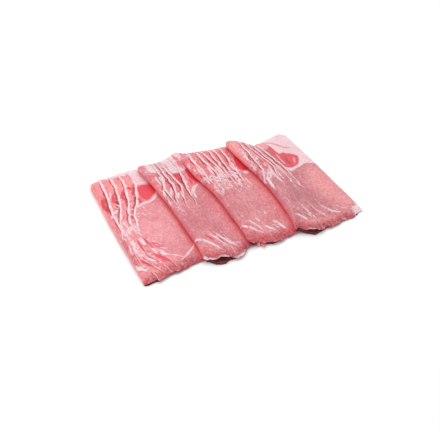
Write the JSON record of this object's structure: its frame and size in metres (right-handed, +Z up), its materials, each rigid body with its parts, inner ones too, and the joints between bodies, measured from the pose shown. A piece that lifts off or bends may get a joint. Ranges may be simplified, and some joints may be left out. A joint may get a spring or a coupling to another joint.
{
  "type": "thinly sliced pork",
  "caption": "Overlapping folded portions of thinly sliced raw pork loin, laid in a row, each with a loose rolled fold, stepped slice edges and a thin free edge.",
  "frame": {"origin": "bottom centre of the row, on the surface that it lies on", "axes": "+X along the row towards the free edge of the last portion, +Y towards the fat edge at the back, +Z up"},
  "size_m": [0.2409, 0.1809, 0.016],
  "materials": {
    "raw_pork": "raw pork loin: pale pink lean meat with red muscle and white fat, moist and softly glossy"
  },
  "bodies": {
    "root": {"folded_slices_1": "raw_pork", "folded_slices_2": "raw_pork", "folded_slices_3": "raw_pork", "folded_slices_4": "raw_pork"}
  },
  "joints": []
}
